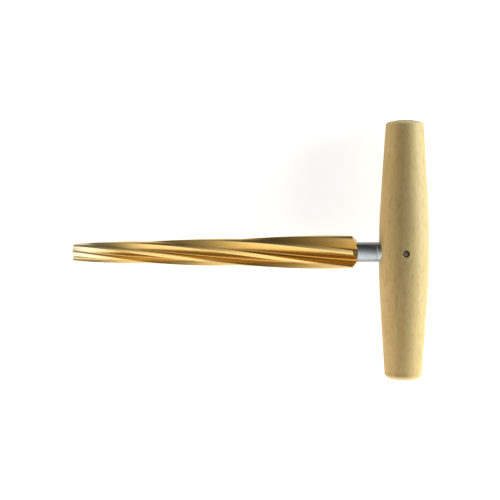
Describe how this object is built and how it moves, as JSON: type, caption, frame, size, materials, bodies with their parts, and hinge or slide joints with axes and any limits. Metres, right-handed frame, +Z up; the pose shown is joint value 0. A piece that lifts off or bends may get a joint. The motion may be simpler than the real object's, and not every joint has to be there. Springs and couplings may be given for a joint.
{
  "type": "peg reamer",
  "caption": "Hand reamer with a spiral-fluted tapered gold-coated blade on a steel shank, cross-pinned in a turned wooden T-handle, for cutting the tapered peg holes of string instruments.",
  "frame": {"origin": "on the bench under the middle of the tool's bounding box, where it lies on the belly of its handle and on the tip of its blade", "axes": "+X along the tool from the blade's tip to the handle, +Y along the handle, +Z up; the blade's axis rises 2.6 degrees towards the handle"},
  "size_m": [0.1578, 0.115, 0.0219],
  "materials": {
    "handle_wood": "pale straight-grained hardwood, turned and sanded, bare",
    "coated_blade": "ground tool steel with a gold titanium nitride coating",
    "shank_steel": "bright turned and polished steel",
    "pin_steel": "plain steel, slightly dulled"
  },
  "bodies": {
    "root": {"handle": "handle_wood", "blade": "coated_blade", "shank": "shank_steel", "cross_pin": "pin_steel"}
  },
  "joints": []
}
